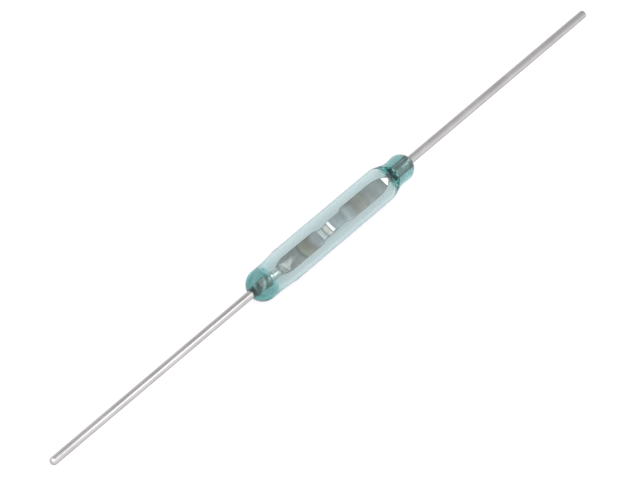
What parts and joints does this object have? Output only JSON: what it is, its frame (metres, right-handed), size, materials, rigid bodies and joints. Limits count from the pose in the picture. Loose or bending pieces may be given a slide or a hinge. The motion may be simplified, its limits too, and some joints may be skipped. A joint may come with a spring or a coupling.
{
  "type": "glass reed switch",
  "caption": "Glass reed switch: a slim sealed glass capsule with a wire lead out of each end and overlapping flat blades inside that close in a magnetic field.",
  "frame": {"origin": "middle of the glass capsule, on its axis", "axes": "+X along the switch towards the waisted end of the glass, +Z square to the blades' flats, up when the switch lies with its blades level"},
  "size_m": [0.047, 0.0022, 0.0022],
  "materials": {
    "glass": "clear blue-green sealing glass, flame-worked, glossy",
    "tinned_wire": "drawn nickel-iron wire with a satin tin coat outside the glass",
    "reed": "pressed nickel-iron, satin, with a plated contact tip"
  },
  "bodies": {
    "capsule": {"glass_capsule": "glass", "left_lead": "tinned_wire", "right_lead": "tinned_wire"},
    "left_blade": {"left_blade": "reed"},
    "right_blade": {"right_blade": "reed"}
  },
  "joints": [
    {"name": "left_blade_flex", "type": "hinge", "parent": "capsule", "child": "left_blade", "pos_m": [-0.00458, 0, 0], "axis": [0, -1, 0], "range_deg": [0, 0.31], "stiffness_Nm_per_rad": 0.0005},
    {"name": "right_blade_flex", "type": "hinge", "parent": "capsule", "child": "right_blade", "pos_m": [0.00458, 0, 0], "axis": [0, -1, 0], "range_deg": [0, 0.31], "stiffness_Nm_per_rad": 0.0005}
  ],
  "couplings": [
    {"joint": "right_blade_flex", "follows": "left_blade_flex", "ratio": 1}
  ]
}
